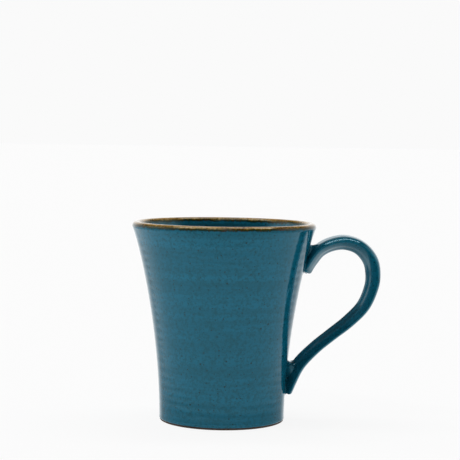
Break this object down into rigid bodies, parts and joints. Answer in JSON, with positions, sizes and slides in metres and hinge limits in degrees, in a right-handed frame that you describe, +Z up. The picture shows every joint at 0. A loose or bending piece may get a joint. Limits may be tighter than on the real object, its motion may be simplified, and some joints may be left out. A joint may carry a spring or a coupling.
{
  "type": "mug",
  "caption": "Flared stoneware mug with a loop handle, petrol blue glaze, a brown lip and a bare clay foot ring, for hot and cold drinks.",
  "frame": {"origin": "middle of the whole mug's box, on the surface it stands on; the vessel's own axis is at x = -0.0174", "axes": "+X towards the handle, which lies in the XZ plane; +Z up through the mouth; -Z out of the foot ring"},
  "size_m": [0.132, 0.097, 0.105],
  "materials": {
    "bare_clay": "unglazed dark stoneware, dry and slightly rough",
    "outer_glaze": "glossy petrol blue glaze with faint turning rings and fine dark iron specks",
    "rim_glaze": "glossy iron brown band where the glaze breaks thin over the lip",
    "liner_glaze": "glossy dark petrol glaze inside the cup",
    "handle_clay": "stoneware core of the handle, hidden under its glaze",
    "handle_glaze": "glossy petrol blue glaze, darker along the strap",
    "slip_bead": "slip smoothed into the corner and covered by pooled dark glaze"
  },
  "bodies": {
    "root": {"body": "bare_clay", "outer_glaze": "outer_glaze", "rim_glaze": "rim_glaze", "liner_glaze": "liner_glaze", "handle": "handle_clay", "handle_glaze": "handle_glaze", "upper_slip_bead": "slip_bead", "lower_slip_bead": "slip_bead"}
  },
  "joints": []
}
